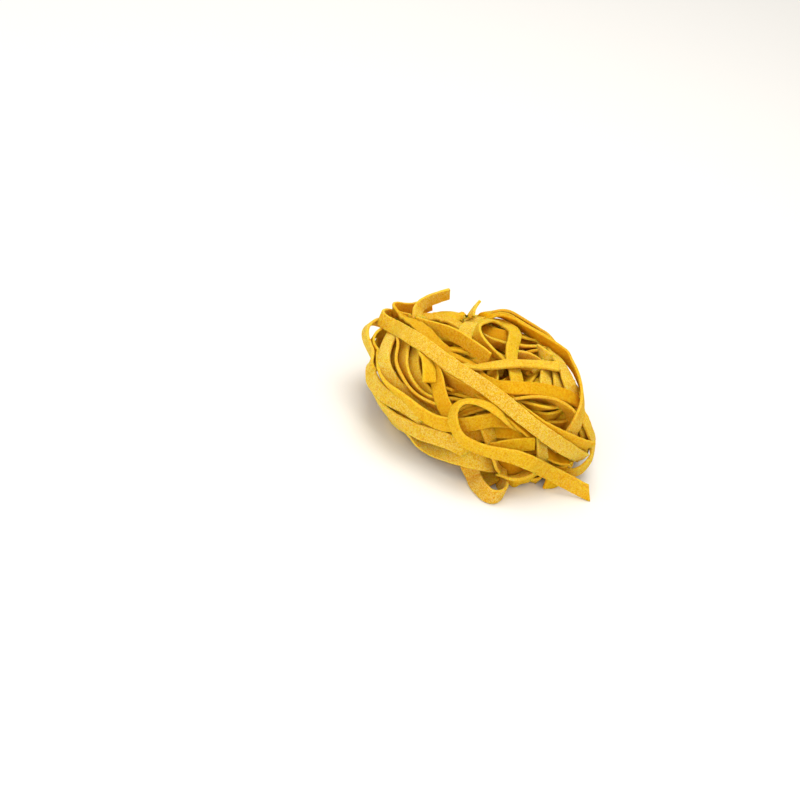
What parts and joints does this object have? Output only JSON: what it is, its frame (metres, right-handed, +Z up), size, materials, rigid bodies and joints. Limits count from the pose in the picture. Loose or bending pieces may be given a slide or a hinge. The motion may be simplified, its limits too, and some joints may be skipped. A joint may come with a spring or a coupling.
{
  "type": "dry pasta nest",
  "caption": "Uneven bun of flat dried egg-noodle ribbon, wound into a nest with a flattened underside, a dished top, loose ends and a hanging loop.",
  "frame": {"origin": "middle of the footprint of the whole nest, on the surface the nest lies on", "axes": "+Z up through the dished top, +X along the nest's longest side towards the end of the long tail, +Y away from the side where the tail and the hanging loop are"},
  "size_m": [0.0904, 0.0824, 0.0361],
  "materials": {
    "dried_pasta": "matte, slightly rough dried egg pasta with a fine semolina dust; edges rougher than the rolled faces"
  },
  "bodies": {
    "root": {"pasta_nest": "dried_pasta"}
  },
  "joints": []
}
